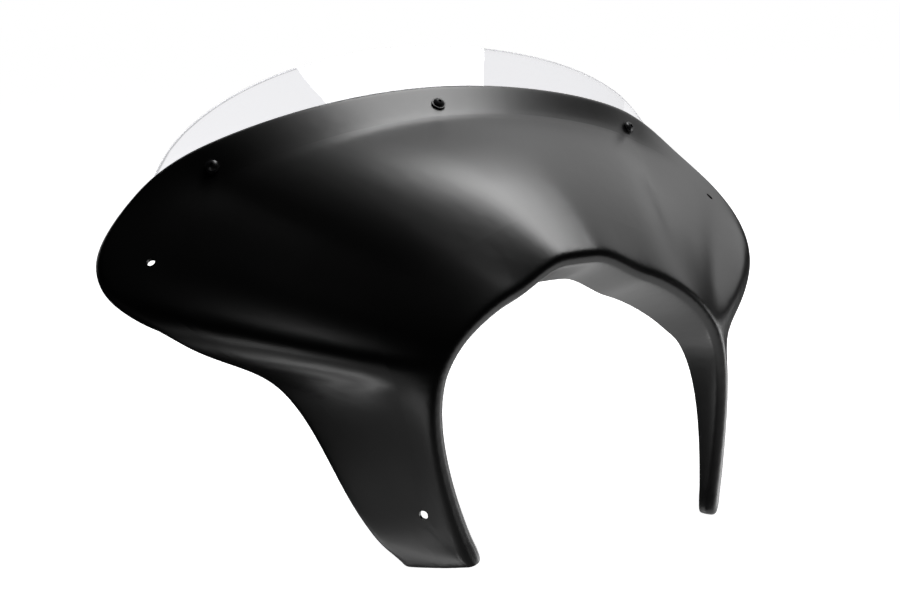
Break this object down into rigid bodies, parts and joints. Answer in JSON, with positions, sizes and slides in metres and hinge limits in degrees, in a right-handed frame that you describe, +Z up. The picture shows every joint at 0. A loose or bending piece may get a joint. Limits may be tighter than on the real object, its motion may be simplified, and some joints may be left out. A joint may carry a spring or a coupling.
{
  "type": "motorbike batwing fairing",
  "caption": "Handlebar fairing: a moulded wing-shaped shell with an open headlamp arch and legs, and a clear screen screwed behind its rolled top edge.",
  "frame": {"origin": "on the headlamp axis, level with the widest part of the arch, at the front of the arch's rounded edge", "axes": "+X across the bike to the right of someone facing the front, +Y to the rear of the bike, +Z up"},
  "size_m": [0.5986, 0.2873, 0.3731],
  "materials": {
    "shell_plastic": "fine grained satin black",
    "screen_plastic": "clear polished sheet",
    "screw_steel": "black coated steel",
    "washer_plastic": "black nylon",
    "grommet_rubber": "soft black rubber",
    "insert_brass": "turned brass"
  },
  "bodies": {
    "root": {"fairing_shell": "shell_plastic", "windscreen": "screen_plastic", "screen_screw_left": "screw_steel", "screen_screw_centre": "screw_steel", "screen_screw_right": "screw_steel", "screen_washer_left": "washer_plastic", "screen_washer_centre": "washer_plastic", "screen_washer_right": "washer_plastic", "screen_grommet_left": "grommet_rubber", "screen_grommet_centre": "grommet_rubber", "screen_grommet_right": "grommet_rubber", "screen_insert_left": "insert_brass", "screen_insert_centre": "insert_brass", "screen_insert_right": "insert_brass"}
  },
  "joints": []
}
